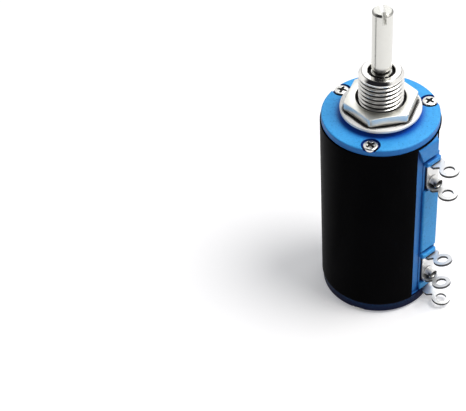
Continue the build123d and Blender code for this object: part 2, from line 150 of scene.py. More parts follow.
class Finish(Web):
    # a material with its Principled shader; place is the object's own coordinates in millimetres
    def __init__(self, name, **fixed):
        self.material = bpy.data.materials.new(name)
        self.material.use_nodes = True
        super().__init__(self.material.node_tree)
        self.tree.nodes.clear()
        self.shader = self.tree.nodes.new("ShaderNodeBsdfPrincipled")
        output = self.tree.nodes.new("ShaderNodeOutputMaterial")
        self.tree.links.new(self.shader.outputs[0], output.inputs["Surface"])
        for name, value in fixed.items():
            self.shader.inputs[name].default_value = value
        coordinates = self.node("ShaderNodeTexCoord", out="Object")
        self.place = self.node("ShaderNodeVectorMath", {"operation": "SCALE"},
                               {"Vector": coordinates, "Scale": 1 / mm})

    def feed(self, **links):
        for name, wire in links.items():
            self.tree.links.new(wire.socket, self.shader.inputs[name.replace("_", " ")])

    def noise(self, scale, detail=2.0, roughness=0.5, place=None):
        values = {"Vector": place or self.place, "Scale": scale, "Detail": detail, "Roughness": roughness}
        return self.node("ShaderNodeTexNoise", None, values)

    def stretched(self, x, y, z):
        return self.vector("MULTIPLY", self.place, (x, y, z))

    def fromAxis(self):
        # distance from the shaft's axis, and height
        x, y, z = self.split(self.place)
        return (x * x + y * y).do("SQRT"), z

    def alongRail(self):
        # distance out towards the rail, which lies halfway between +X and -Y, and height
        x, y, z = self.split(self.place)
        return (x - y) * math.sqrt(0.5), z

    def level(self):
        # 1 on level faces, 0 on upright walls
        return self.split(self.node("ShaderNodeTexCoord", out="Normal"))[2].do("ABSOLUTE")

    def roundNormal(self, radius):
        return self.node("ShaderNodeBevel", {"samples": probes["edgeSamples"]}, {"Radius": radius * mm})

    def edges(self, radius):
        # 0 on flat places, rising to 1 at sharp edges
        soft = self.roundNormal(radius)
        flat = self.node("ShaderNodeNewGeometry", out="Normal")
        return (1.0 - self.vector("DOT_PRODUCT", soft, flat, out="Value")) * probes["edgeGain"]

    def creases(self, reach, low, high):
        # 0 in the open, rising to 1 far into grooves, corners and recesses, where shade is painted
        settings = {"samples": probes["creaseSamples"]}
        shut = 1.0 - self.node("ShaderNodeAmbientOcclusion", settings, {"Distance": reach * mm}, out="AO")
        return self.smooth(shut, low, high)

    def bump(self, height, depth, edgeRadius=0.0):
        values = {"Height": height, "Distance": depth * mm, "Strength": 1.0}
        if edgeRadius:
            values["Normal"] = self.roundNormal(edgeRadius)
        return self.node("ShaderNodeBump", None, values)


def dimmed(colour, share):
    return tuple(part * share for part in colour)


photo = {
    "width": 466, "height": 411,
    "focalPixels": 1400.0,
    "pitch": 43.487, "roll": 1.143,
    "distance": 292.8, "aimHeight": 23.1,
    "aimX": 378.644, "aimY": 193.708,
    "sensor": 36.0, "clip": (10, 20000),
}


def photoCamera():
    pitch = math.radians(photo["pitch"])
    roll = math.radians(photo["roll"])
    pan = math.atan2(photo["aimX"] - photo["width"] / 2, photo["focalPixels"])
    nod = math.atan2(photo["aimY"] - photo["height"] / 2, photo["focalPixels"])
    right = Vector((1, 0, 0))
    ahead = Vector((0, math.cos(pitch), -math.sin(pitch)))
    level = Matrix((right, -right.cross(ahead), ahead))
    panned = Matrix(((math.cos(pan), 0, math.sin(pan)), (0, 1, 0), (-math.sin(pan), 0, math.cos(pan))))
    nodded = Matrix(((1, 0, 0), (0, math.cos(nod), math.sin(nod)), (0, -math.sin(nod), math.cos(nod))))
    rolled = Matrix(((math.cos(roll), -math.sin(roll), 0), (math.sin(roll), math.cos(roll), 0), (0, 0, 1)))
    seen = rolled @ nodded @ panned @ level
    turned = Matrix((seen[0], -seen[1], -seen[2])).transposed().to_4x4()
    camera = bpy.data.objects.new("camera", bpy.data.cameras.new("camera"))
    bpy.context.scene.collection.objects.link(camera)
    middle = Vector((0, 0, photo["aimHeight"] * mm))
    camera.matrix_world = Matrix.Translation(middle - ahead * photo["distance"] * mm) @ turned
    camera.data.sensor_width = photo["sensor"]
    camera.data.lens = photo["focalPixels"] * photo["sensor"] / photo["width"]
    camera.data.clip_start, camera.data.clip_end = (reach * mm for reach in photo["clip"])
    bpy.context.scene.camera = camera


studio = {
    "ambient": 0.33, "ambientColour": (0.95, 0.97, 1.0),
    "floorColour": (0.93, 0.925, 0.94), "floorBounce": (0.56, 0.56, 0.58), "floorLift": 0.28,
    "floorHalf": 1500, "floorMottle": 0.99, "floorGrain": 0.02,
    # the dim side of the room, which bright metal shows
    "dimAzimuth": -112, "dimElevation": 40, "dimCore": 40, "dimEdge": 64, "dimColour": (0.012, 0.012, 0.016),
    "dimLight": 0.75,
    # a black card on the floor at the left, seen only in reflections
    "cardAzimuth": -163, "cardNear": 22, "cardFar": 170, "cardHalfAngle": 5.0, "cardHeight": 0.3,
    "cardColours": ((0.03, 0.03, 0.03), (0.05, 0.05, 0.05)), "cardGrain": 0.1,
    "lamps": [
        # name, azimuth, elevation, distance, size, watts, colour
        ("key", -4, 64, 620, 360, 2.9, (1.0, 0.985, 0.96)),
        ("fill", 70, 50, 700, 420, 0.6, (0.96, 0.98, 1.0)),
    ],
}
white = (1, 1, 1)
black = (0, 0, 0)


def fromAngles(azimuth, elevation, distance):
    turn, rise = math.radians(azimuth), math.radians(elevation)
    flat = math.cos(rise) * distance
    return Vector((math.cos(turn) * flat, math.sin(turn) * flat, math.sin(rise) * distance)) * mm


def shownRay(web):
    # 1 where the camera, a reflection or glass looks at it, 0 where it only gives light
    path = web.node("ShaderNodeLightPath", out="Is Camera Ray")
    return path.do("MAXIMUM", path.also("Is Glossy Ray")).do("MAXIMUM", path.also("Is Transmission Ray"))


def whiteWorld():
    # a plain white background, dim on one side in reflections, that lights the object evenly
    world = bpy.data.worlds.new("whiteWorld")
    world.use_nodes = True
    bpy.context.scene.world = world
    web = Web(world.node_tree)
    web.tree.nodes.clear()
    way = web.node("ShaderNodeTexCoord", out="Generated")
    dim = tuple(fromAngles(studio["dimAzimuth"], studio["dimElevation"], 1 / mm))
    facing = web.vector("DOT_PRODUCT", way, dim, out="Value")
    core, edge = (math.cos(math.radians(studio[name])) for name in ("dimCore", "dimEdge"))
    patch = web.smooth(facing, edge, core)
    ambient = studio["ambientColour"]
    lit = web.blendColour(patch, ambient, dimmed(ambient, studio["dimLight"]))
    light = web.node("ShaderNodeBackground", None, {"Color": lit, "Strength": studio["ambient"]})
    glossy = web.node("ShaderNodeLightPath", out="Is Glossy Ray")
    colour = web.blendColour(patch * glossy, white, studio["dimColour"])
    shown = web.node("ShaderNodeBackground", None, {"Color": colour, "Strength": 1.0})
    mixed = web.node("ShaderNodeMixShader", None, [shownRay(web), light, shown])
    web.node("ShaderNodeOutputWorld", None, {"Surface": mixed})


def flatSheet(name, corners, paint):
    mesh = bpy.data.meshes.new(name)
    mesh.from_pydata(corners, [], [(0, 1, 2, 3)])
    mesh.materials.append(paint.material)
    sheet = bpy.data.objects.new(name, mesh)
    bpy.context.scene.collection.objects.link(sheet)
    return sheet


def paleFloor():
    # near white where it is looked at, and greyer in the light that it throws back
    half = studio["floorHalf"] * mm
    paint = Finish("paleFloor", Roughness=0.9, **{"Emission Strength": 1.0, "Specular IOR Level": 0.0})
    tint = paint.noise(studio["floorGrain"])
    shown = shownRay(paint)
    pale = studio["floorColour"]
    paper = paint.blendColour(tint, pale, dimmed(pale, studio["floorMottle"]))
    paint.feed(Base_Color=paint.blendColour(shown, studio["floorBounce"], paper),
               Emission_Color=paint.blendColour(shown, black, dimmed(white, studio["floorLift"])))
    corners = [(-half, -half, 0), (half, -half, 0), (half, half, 0), (-half, half, 0)]
    floor = flatSheet("floor", corners, paint)


def blackCard():
    paint = Finish("blackCard", Roughness=1.0, **{"Specular IOR Level": 0.0})
    paint.feed(Base_Color=paint.blendColour(paint.noise(studio["cardGrain"]), *studio["cardColours"]))
    spots = [fromAngles(studio["cardAzimuth"] + side * studio["cardHalfAngle"], 0, studio[reach])
             for reach, side in (("cardNear", -1), ("cardFar", -1), ("cardFar", 1), ("cardNear", 1))]
    card = flatSheet("blackCard", [(spot.x, spot.y, studio["cardHeight"] * mm) for spot in spots], paint)
    card.visible_camera = False
    card.visible_diffuse = False
    card.visible_transmission = False
    card.visible_shadow = False


def lamps():
    target = Vector((0, 0, photo["aimHeight"] * mm))
    for name, azimuth, elevation, distance, size, watts, colour in studio["lamps"]:
        light = bpy.data.lights.new(name, "AREA")
        light.shape = "DISK"
        light.size = size * mm
        light.energy = watts
        light.color = colour
        lamp = bpy.data.objects.new(name, light)
        bpy.context.scene.collection.objects.link(lamp)
        lamp.location = target + fromAngles(azimuth, elevation, distance)
        lamp.rotation_euler = (target - lamp.location).to_track_quat("-Z", "Y").to_euler()


bpy.context.scene.view_settings.view_transform = "Standard"
photoCamera()
whiteWorld()
paleFloor()
blackCard()
lamps()
print("camera, world, floor and lamps made")


rail = {
    "azimuth": -45.0,
    # out to where its strips are sunk, and up to where its end block starts
    "sunk": (11.0, 11.2), "block": (38.4, 39.0), "blockShade": 0.75,
}
blue = {
    "body": ((0.042, 0.39, 0.88), (0.066, 0.455, 0.94)),
    "cloud": (0.012, 0.20, 0.66), "cloudShare": 0.22,
    "speck": (0.014, 0.17, 0.55), "speckShare": 0.6,
    # wall: painted shade for the upright walls
    "wall": (0.010, 0.17, 0.62),
    # painted shade on the rail's sunk strips and end block
    "deepShade": (0.022, 0.13, 0.56), "deepShadeShare": 0.55,
    # worn: paler edges, partly wear and partly painted highlight
    "worn": (0.16, 0.50, 0.92), "wornShare": 0.55, "wornAndHighlightEdge": 0.22,
    # groove: painted shade colour in the grooves
    "grooveShade": (0.005, 0.035, 0.24), "grooveShadeShare": 0.8,
    "rough": 0.36, "roughGrain": 0.14, "grainDepth": 0.012, "roundEdge": 0.12,
}


def railShade(paint):
    # painted shade: the rail's sunk strips and its end block are painted a deeper blue than its lands
    out, up = paint.alongRail()
    sunk = 1.0 - paint.smooth(out, *rail["sunk"])
    return sunk.do("MAXIMUM", paint.smooth(up, *rail["block"]) * rail["blockShade"])


def bluePlasticFinish(name, grooveShade, shade, shadeColour, gloss=0.28, wallShade=0.0, deepShade=None):
    # moulded thermoplastic: fine grain, flow marks and clouds, edges paler as wear and painted highlight,
    # and painted shade in grooves and softly round them
    # the upright walls get painted shade from the wall setting, and a mask, here the rail's, gives where
    # else shade is painted
    paint = Finish(name, **{"Specular IOR Level": gloss})
    flow = paint.noise(0.22, 3.0)
    grain = paint.noise(9.0, 3.0, 0.6)
    speck = paint.smooth(paint.noise(2.4, 2.0, 0.6), 0.56, 0.72)
    # paler edges, partly rubbed wear and partly painted highlight
    worn = (paint.edges(blue["wornAndHighlightEdge"]) * (0.35 + 0.9 * paint.noise(1.4))).clamp()
    body = paint.blendColour(flow, *blue["body"])
    cloud = paint.smooth(paint.noise(1.3, 4.0, 0.75), 0.42, 0.62)
    body = paint.blendColour(cloud * blue["cloudShare"], body, blue["cloud"])
    body = paint.blendColour(speck * blue["speckShare"], body, blue["speck"])
    # painted shade on the upright walls, by how upright the face is
    body = paint.blendColour((1.0 - paint.level()) * wallShade, body, blue["wall"])
    # painted shade where the given mask says, on the rail
    if deepShade:
        body = paint.blendColour(deepShade(paint) * blue["deepShadeShare"], body, blue["deepShade"])
    body = paint.blendColour(worn * blue["wornShare"], body, blue["worn"])
    body = paint.blendColour(paint.creases(*shade), body, shadeColour)
    # painted shade in the grooves, near black
    body = paint.blendColour(paint.creases(*grooveShade) * blue["grooveShadeShare"], body, blue["grooveShade"])
    paint.feed(Base_Color=body,
               Roughness=blue["rough"] + blue["roughGrain"] * grain,
               Normal=paint.bump(grain, blue["grainDepth"], blue["roundEdge"]))
    return paint.material


skin = {
    "body": ((0.0016, 0.0016, 0.0019), (0.0044, 0.0042, 0.0048)), "gloss": 0.005,
    "scuff": (0.009, 0.009, 0.010), "scuffShare": 0.5,
    "rough": 0.30, "roughGrain": 0.16, "roughScuff": 0.18,
    "grainDepth": 0.02, "cloudBump": 0.6, "roundEdge": 0.08,
}


def blackSleeveFinish():
    # shrunk-on plastic sleeve: near-black skin with fine grain and faint scuffs that run along it
    paint = Finish("blackSleeve", **{"Specular IOR Level": skin["gloss"]})
    grain = paint.noise(7.0, 4.0, 0.65)
    cloud = paint.noise(0.16, 2.0, place=paint.stretched(1, 1, 0.45))
    scuff = paint.smooth(paint.noise(1.1, 5.0, 0.7, place=paint.stretched(1, 1, 0.25)), 0.60, 0.82)
    body = paint.blendColour(cloud, *skin["body"])
    paint.feed(Base_Color=paint.blendColour(scuff * skin["scuffShare"], body, skin["scuff"]),
               Roughness=skin["rough"] + skin["roughGrain"] * grain + skin["roughScuff"] * scuff,
               Normal=paint.bump(grain + skin["cloudBump"] * cloud, skin["grainDepth"], skin["roundEdge"]))
    return paint.material


metal = {
    "mottleTone": 0.93, "mottleShare": 0.8, "mottleBump": 0.3,
    # the colour of painted shade and grime in creases and shaded places
    "grimeAndShade": (0.02, 0.018, 0.017), "grimeAndShadeShare": 0.98, "dullShare": 0.7,
    # what each mask adds to the roughness
    "roughLines": 0.10, "roughSpots": 0.16, "roughGrimeAndShade": 0.25, "roughDull": 0.2,
}


def metalFinish(name, bright, stained, rough, brushing, depth, edgeRadius=0.06, stain=0.3,
                grooveShade=(0.7, 0.25, 0.75), shade=None, frosted=None):
    # plated or drawn metal; brushing stretches the fine lines along the part
    # shade gives a mask of painted shade, added to the creases' painted shade and grime, and frosted gives a
    # mask of what is dull white
    paint = Finish(name, Metallic=1.0)
    lines = paint.noise(1.0, 4.0, 0.7, place=paint.stretched(*brushing))
    mottle = paint.noise(0.8, 3.0)
    spots = paint.smooth(paint.noise(2.2, 3.0, 0.6), 0.55, 0.80) * stain
    body = paint.blendColour(mottle * metal["mottleShare"], bright, dimmed(bright, metal["mottleTone"]))
    body = paint.blendColour(spots, body, stained)
    # painted shade, with some grime, in creases and where the shade mask says
    grimeAndShade = paint.creases(*grooveShade)
    if shade:
        grimeAndShade = grimeAndShade.do("MAXIMUM", shade(paint))
    dull = frosted(paint) if frosted else 0.0
    if frosted:
        paint.feed(Metallic=1.0 - metal["dullShare"] * dull)
    paint.feed(Base_Color=paint.blendColour(grimeAndShade * metal["grimeAndShadeShare"], body, metal["grimeAndShade"]),
               Roughness=(rough + metal["roughLines"] * lines + metal["roughSpots"] * spots
                          + metal["roughGrimeAndShade"] * grimeAndShade + metal["roughDull"] * dull),
               Normal=paint.bump(lines + metal["mottleBump"] * mottle, depth, edgeRadius))
    return paint.material


shaftEnd = {"height": (70.05, 70.25), "radius": (1.68, 1.80), "tone": 0.55}
lug = {
    # cut sides are painted dark as shade where they are steep and outside the pockets; the flats are a dull
    # tinned white
    "steep": (0.35, 0.75), "outside": (11.9, 12.4), "cutShade": 0.95,
    "dull": 0.45, "dullMottle": 0.4, "mottleGrain": 1.5,
}


def shaftRim(paint):
    # a dark ring painted round the rim of the slotted end
    radius, z = paint.fromAxis()
    rim = paint.smooth(z, *shaftEnd["height"]) * paint.smooth(radius, *shaftEnd["radius"])
    return rim * shaftEnd["tone"]


def screwCrossShade(paint):
    # painted shade in the cross recess, from the depth that the screw's mesh carries
    return paint.node("ShaderNodeAttribute", {"attribute_name": "pressed"}, out="Fac")


def cutSideShade(paint):
    # painted shade on the cut sides of the lugs, outside the rail's pockets
    out = paint.alongRail()[0]
    side = 1.0 - paint.smooth(paint.level(), *lug["steep"])
    return side * paint.smooth(out, *lug["outside"]) * lug["cutShade"]


def tinned(paint):
    return lug["dull"] + lug["dullMottle"] * paint.noise(lug["mottleGrain"])


winding = {
    "wires": 420.0, "wire": ((0.52, 0.36, 0.22), (0.62, 0.47, 0.31)),
    "gap": (0.16, 0.10, 0.06), "gapShare": 0.5, "rough": 0.26, "roughGap": 0.25, "depth": 0.03,
}
ink = {
    "fresh": (0.70, 0.70, 0.68), "worn": (0.32, 0.32, 0.32), "wornShare": 0.4,
    "rough": 0.5, "roughWorn": 0.2, "depth": 0.004,
}
moulding = {"body": ((0.030, 0.027, 0.024), (0.052, 0.047, 0.042)), "rough": 0.5, "roughGrain": 0.2}


def windingFinish():
    # fine wire wound side by side round the mandrel: close lines that stand across the helix
    paint = Finish("windingWire", Metallic=1.0)
    x, y = paint.split(paint.place)[:2]
    turns = (y.do("ARCTAN2", x) * winding["wires"] / math.tau).do("FRACT")
    gap = (turns * 2.0 - 1.0).do("ABSOLUTE")
    body = paint.blendColour(paint.noise(0.6, 2.0), *winding["wire"])
    paint.feed(Base_Color=paint.blendColour(gap * winding["gapShare"], body, winding["gap"]),
               Roughness=winding["rough"] + winding["roughGap"] * gap,
               Normal=paint.bump(1.0 - gap, winding["depth"]))
    return paint.material


def labelInkFinish():
    # off-white print, a little worn
    paint = Finish("labelInk", **{"Specular IOR Level": 0.2})
    worn = paint.smooth(paint.noise(4.0, 3.0, 0.6), 0.5, 0.75)
    paint.feed(Base_Color=paint.blendColour(worn * ink["wornShare"], ink["fresh"], ink["worn"]),
               Roughness=ink["rough"] + ink["roughWorn"] * worn,
               Normal=paint.bump(worn, ink["depth"]))
    return paint.material


def rotorPlasticFinish():
    # dark moulded plastic inside the body
    paint = Finish("rotorPlastic")
    grain = paint.noise(6.0, 3.0, 0.6)
    paint.feed(Base_Color=paint.blendColour(paint.noise(0.4, 2.0), *moulding["body"]),
               Roughness=moulding["rough"] + moulding["roughGrain"] * grain,
               Normal=paint.bump(grain, 0.015, 0.1))
    return paint.material


finishes = {
    "blue_plastic": bluePlasticFinish("bluePlastic", grooveShade=(1.3, 0.22, 0.62), shade=(3.0, 0.45, 1.4),
                                      shadeColour=(0.015, 0.08, 0.42), deepShade=railShade),
    "black_sleeve": blackSleeveFinish(),
    "nickel_plate": metalFinish("nickelPlate", bright=(0.86, 0.845, 0.81), stained=(0.50, 0.47, 0.42),
                                rough=0.09, brushing=(3, 3, 9), depth=0.0015),
    "shaft_steel": metalFinish("shaftSteel", bright=(0.69, 0.685, 0.645), stained=(0.50, 0.48, 0.45),
                               rough=0.16, brushing=(0.7, 0.7, 26), depth=0.003, shade=shaftRim),
    "screw_steel": metalFinish("screwSteel", bright=(0.84, 0.83, 0.80), stained=(0.45, 0.43, 0.40),
                               rough=0.14, brushing=(5, 5, 5), depth=0.002,
                               grooveShade=(0.8, 0.10, 0.40), shade=screwCrossShade),
    "tinned_sheet": metalFinish("tinnedSheet", bright=(0.92, 0.915, 0.90), stained=(0.56, 0.54, 0.50),
                                rough=0.17, brushing=(2, 2, 2), depth=0.008, edgeRadius=0.09,
                                grooveShade=(1.2, 0.25, 0.65), shade=cutSideShade, frosted=tinned),
    "rotor_plastic": rotorPlasticFinish(),
    "winding_wire": windingFinish(),
    "spring_bronze": metalFinish("springBronze", bright=(0.80, 0.56, 0.32), stained=(0.42, 0.26, 0.14),
                                 rough=0.20, brushing=(2, 2, 14), depth=0.002),
    "label_ink": labelInkFinish(),
    "rod_brass": metalFinish("rodBrass", bright=(0.84, 0.70, 0.40), stained=(0.46, 0.35, 0.18),
                             rough=0.20, brushing=(1, 1, 20), depth=0.002),
}
capBlues = {
    "front_cap": bluePlasticFinish("frontCapBlue", grooveShade=(1.1, 0.25, 0.75), shade=(2.8, 0.04, 0.50),
                                   shadeColour=(0.004, 0.08, 0.48), wallShade=0.75),
    "rear_cap": bluePlasticFinish("rearCapBlue", grooveShade=(1.1, 0.25, 0.75), shade=(8.0, 0.02, 0.30),
                                  shadeColour=(0.001, 0.002, 0.03), gloss=0.06),
}
for subpart in frame["record"]["subparts"]:
    dressed = cadNodes[subpart["node"]].data
    dressed.materials.clear()
    dressed.materials.append(finishes[subpart["material_slot"]])
for node, capBlue in capBlues.items():
    cadNodes[node].data.materials[0] = capBlue
print("finishes made:", len(finishes) + len(capBlues))


def onAxis(radius, turn, height):
    # a place in metres, from a radius, an angle about the shaft's axis and a height
    return radius * math.cos(turn) * mm, radius * math.sin(turn) * mm, height * mm


def joinRings(mesh, rings):
    # closed rings of points, each joined to the next by faces
    for here, there in zip(rings, rings[1:]):
        for index in range(len(here)):
            after = (index + 1) % len(here)
            mesh.faces.new((here[index], there[index], there[after], here[after]))


def spin(mesh, outlines):
    # closed outlines of (radius, height) points, one for each step of a turn, joined all the way round
    rings = [[mesh.verts.new(onAxis(radius, math.tau * step / len(outlines), height))
              for radius, height in outline] for step, outline in enumerate(outlines)]
    joinRings(mesh, rings + rings[:1])


def lathe(profile, turns=144):
    mesh = bmesh.new()
    spin(mesh, [profile] * turns)
    bmesh.ops.remove_doubles(mesh, verts=mesh.verts, dist=1e-7)
    bmesh.ops.recalc_face_normals(mesh, faces=mesh.faces)
    return mesh


def beside(radius, height, steps):
    # points a little out and up from a corner of an outline
    return [(radius + out, height + up) for out, up in steps]


def rounded(corners, radii, steps=3, mostOfSide=0.49):
    # an outline with each corner rounded by its own radius
    result = []
    for index, (corner, radius) in enumerate(zip(corners, radii)):
        here = Vector(corner)
        before = Vector(corners[index - 1]) - here
        after = Vector(corners[(index + 1) % len(corners)]) - here
        start = here + before.normalized() * min(radius, before.length * mostOfSide)
        end = here + after.normalized() * min(radius, after.length * mostOfSide)
        for step in range(steps + 1):
            part = step / steps
            result.append(tuple(start * (1 - part) ** 2 + here * 2 * part * (1 - part) + end * part ** 2))
    return result


def smoothFaces(data, angle):
    data.shade_smooth()
    data.set_sharp_from_angle(angle=math.radians(angle))


def pieceFrom(name, mesh, material, smoothAngle=32):
    data = bpy.data.meshes.new(name)
    mesh.to_mesh(data)
    mesh.free()
    data.materials.append(material)
    smoothFaces(data, smoothAngle)
    made = bpy.data.objects.new(name, data)
    bpy.context.scene.collection.objects.link(made)
    return made


def settle(made, smoothAngle=32):
    # applies what is on the piece, so that a plain mesh is left
    graph = bpy.context.evaluated_depsgraph_get()
    data = bpy.data.meshes.new_from_object(made.evaluated_get(graph))
    made.modifiers.clear()
    old = made.data
    made.data = data
    data.name = made.name
    bpy.data.meshes.remove(old)
    smoothFaces(data, smoothAngle)


def softEdges(made, width, steps=2, angle=32):
    bevel = made.modifiers.new("softEdges", "BEVEL")
    bevel.width = width * mm
    bevel.segments = steps
    bevel.limit_method = "ANGLE"
    bevel.angle_limit = math.radians(angle)
    bevel.use_clamp_overlap = True
    settle(made, angle)


def growTree(name, inputs):
    # an empty Geometry Nodes tree with named inputs; gives the web and a wire for each input
    tree = bpy.data.node_groups.new(name, "GeometryNodeTree")
    tree.interface.new_socket(name="Geometry", in_out="INPUT", socket_type="NodeSocketGeometry")
    tree.interface.new_socket(name="Geometry", in_out="OUTPUT", socket_type="NodeSocketGeometry")
    for label, kind in inputs.items():
        tree.interface.new_socket(name=label, in_out="INPUT", socket_type="NodeSocket" + kind)
    web = Web(tree)
    entry = tree.nodes.new("NodeGroupInput")
    wires = {socket.name: Wire(web, socket) for socket in entry.outputs if socket.name}
    return web, wires


def closeTree(web, geometry, material):
    real = web.node("GeometryNodeRealizeInstances", None, {"Geometry": geometry})
    painted = web.node("GeometryNodeSetMaterial", None, {"Geometry": real, "Material": material})
    web.node("NodeGroupOutput", None, {"Geometry": painted})
    return web.tree


def growOn(made, tree, values):
    # runs a tree on a piece with the given inputs and keeps the plain mesh
    grown = made.modifiers.new(tree.name, "NODES")
    grown.node_group = tree
    for item in tree.interface.items_tree:
        if item.item_type == "SOCKET" and item.in_out == "INPUT" and item.name in values:
            grown[item.identifier] = values[item.name]
    settle(made)


bushing = {
    "flangeRadius": 6.6, "flangeLow": 46.2, "flangeHigh": 47.35,
    "seatRadius": 5.18, "seatLow": 43.17,
    "threadRadius": 4.45, "pitch": 1.0, "depth": 0.5, "crest": (0.22, 0.92), "fadePitches": 0.5,
    "collarLow": 55.6, "top": 56.65, "chamfer": 0.6,
    "boreRadius": 2.03, "mouthRadius": 2.68, "mouthDepth": 1.2,
    "rowsPerPitch": 14, "turns": 120,
    # the thread runs from above the flange into the collar's foot, on the wall between two radii
    "threadFrom": 0.35, "threadTo": 0.2, "wallIn": 0.3, "wallOut": 0.1,
    # small steps out and up beside the outline's corners
    "collarFoot": [(-0.06, 0.12), (0, 0.22)], "chamferFoot": [(0, -0.06), (-0.05, 0.02)],
    "chamferTop": [(-0.02, -0.06), (-0.10, 0)], "mouthEdge": [(0.16, 0), (0.02, -0.12), (0, -0.25)],
    "flangeFoot": [(-0.08, 0), (0, 0.08)], "flangeEdge": [(0, -0.12), (-0.12, 0)],
}
bushingTones = {
    # bands measured from the flange, the collar, the thread's roots, the mouth's radius and the top
    "flange": (0.3, 0.6), "collar": (-0.05, 0.15), "wear": 0.4,
    "roots": (0.10, 0.36), "belowRoots": 0.4, "mouth": (0.02, 0.08), "mouthTop": (-0.35, -0.15),
    # the thin line at the chamfer's upper edge
    "lineLow": (-0.16, -0.10), "lineHigh": (-0.06, -0.02), "lineIn": 0.2, "lineTone": 0.8,
}


def threaded(paint, z):
    # 1 between the flange and the collar
    start = paint.rise(z, bushing["flangeHigh"], bushingTones["flange"])
    return start * (1.0 - paint.rise(z, bushing["collarLow"], bushingTones["collar"]))


def threadWear(paint):
    return threaded(paint, paint.fromAxis()[1]) * bushingTones["wear"]


def bushingShade(paint):
    # the thread's roots, the mouth and a thin line round the top hold the dark
    b, tones = bushing, bushingTones
    radius, z = paint.fromAxis()
    deepest = b["threadRadius"] - b["depth"]
    roots = (1.0 - paint.rise(radius, deepest, tones["roots"])) * threaded(paint, z)
    mouth = 1.0 - paint.rise(radius, b["mouthRadius"], tones["mouth"])
    mouth = mouth * (1.0 - paint.rise(z, b["top"], tones["mouthTop"]))
    line = paint.rise(z, b["top"], tones["lineLow"]) * (1.0 - paint.rise(z, b["top"], tones["lineHigh"]))
    lineFrom = b["threadRadius"] - b["chamfer"] - tones["lineIn"]
    line = line * radius.do("GREATER_THAN", lineFrom) * tones["lineTone"]
    roots = roots * radius.do("GREATER_THAN", deepest - tones["belowRoots"])
    return roots.do("MAXIMUM", mouth).do("MAXIMUM", line)


def threadTree():
    # pushes the wall in along a right-handed helix, with rounded crests and a V between them
    web, given = growTree("screwThread", {
        "Pitch": "Float", "Depth": "Float", "Low": "Float", "High": "Float",
        "Inner Limit": "Float", "Outer Limit": "Float", "Material": "Material"})
    x, y, z = web.split(web.node("GeometryNodeInputPosition"))
    radius = (x * x + y * y).do("SQRT")
    turn = y.do("ARCTAN2", x) / math.tau
    wave = ((z / given["Pitch"] - turn).do("FRACT") * 2.0 - 1.0).do("ABSOLUTE")
    crest = web.smooth(wave, *bushing["crest"])
    fade = given["Pitch"] * bushing["fadePitches"]
    begun = web.smooth(z, given["Low"], given["Low"] + fade)
    ended = web.smooth(z, given["High"] - fade, given["High"])
    wall = radius.do("GREATER_THAN", given["Inner Limit"]) * radius.do("LESS_THAN", given["Outer Limit"])
    push = (1.0 - crest) * (begun * (1.0 - ended)) * wall * given["Depth"] * -1.0
    outward = web.vector("NORMALIZE", web.node("ShaderNodeCombineXYZ", None, {"X": x, "Y": y}))
    offset = web.node("ShaderNodeVectorMath", {"operation": "SCALE"}, {"Vector": outward, "Scale": push})
    moved = web.node("GeometryNodeSetPosition", None, {"Geometry": given["Geometry"], "Offset": offset})
    return closeTree(web, moved, given["Material"])


def buildBushing(tree):
    b = bushing
    run = b["collarLow"] - b["flangeHigh"]
    rows = int(run / b["pitch"] * b["rowsPerPitch"])
    mouthFloor = b["top"] - b["mouthDepth"]
    outline = [
        (b["seatRadius"], b["seatLow"]), (b["seatRadius"], b["flangeLow"]),
        *beside(b["flangeRadius"], b["flangeLow"], b["flangeFoot"]),
        *beside(b["flangeRadius"], b["flangeHigh"], b["flangeEdge"]),
        *[(b["threadRadius"], b["flangeHigh"] + run * row / rows) for row in range(rows + 1)],
        *beside(b["threadRadius"], b["collarLow"], b["collarFoot"]),
        *beside(b["threadRadius"], b["top"] - b["chamfer"], b["chamferFoot"]),
        *beside(b["threadRadius"] - b["chamfer"], b["top"], b["chamferTop"]),
        *beside(b["mouthRadius"], b["top"], b["mouthEdge"]),
        (b["mouthRadius"], mouthFloor), (b["boreRadius"], mouthFloor), (b["boreRadius"], b["seatLow"]),
    ]
    plate = metalFinish("bushingPlate", bright=(0.92, 0.905, 0.87), stained=(0.50, 0.47, 0.42),
                        rough=0.07, brushing=(3, 3, 9), depth=0.0015,
                        shade=bushingShade, frosted=threadWear)
    made = pieceFrom("bushing", lathe(outline, b["turns"]), plate)
    growOn(made, tree, {
        "Pitch": b["pitch"] * mm, "Depth": b["depth"] * mm,
        "Low": (b["flangeHigh"] + b["threadFrom"]) * mm, "High": (b["collarLow"] + b["threadTo"]) * mm,
        "Inner Limit": (b["threadRadius"] - b["wallIn"]) * mm,
        "Outer Limit": (b["threadRadius"] + b["wallOut"]) * mm, "Material": plate})
    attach(made, "housing")
    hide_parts("threaded_bushing")


buildBushing(threadTree())
print("bushing made")


washer = {
    "outer": 8.1, "inner": 4.55, "low": 47.35, "high": 47.95, "rounds": [0.05, 0.1, 0.3, 0.08],
    "worn": 6.9, "wornBand": (0, 0.4), "wornTone": 1.2,
}
nut = {
    "acrossFlats": 13.0, "low": 48.05, "high": 50.05, "cornerAzimuth": 14.0,
    "bore": 4.5, "countersink": 5.0, "countersinkDepth": 0.5, "boreBand": (-0.02, 0.10),
    "faceShare": 0.99, "coneRise": 0.12, "cornerCut": 0.99, "round": 0.12, "sharpAngle": 14,
    "sides": 6, "steps": 180,
}


def washerRim(paint):
    # the rim outside the nut is worn to a dull white
    return washer["wornTone"] * paint.rise(paint.fromAxis()[0], washer["worn"], washer["wornBand"])


def nutBoreShade(paint):
    # painted shade in the nut's countersink and bore
    return 1.0 - paint.rise(paint.fromAxis()[0], nut["countersink"], nut["boreBand"])


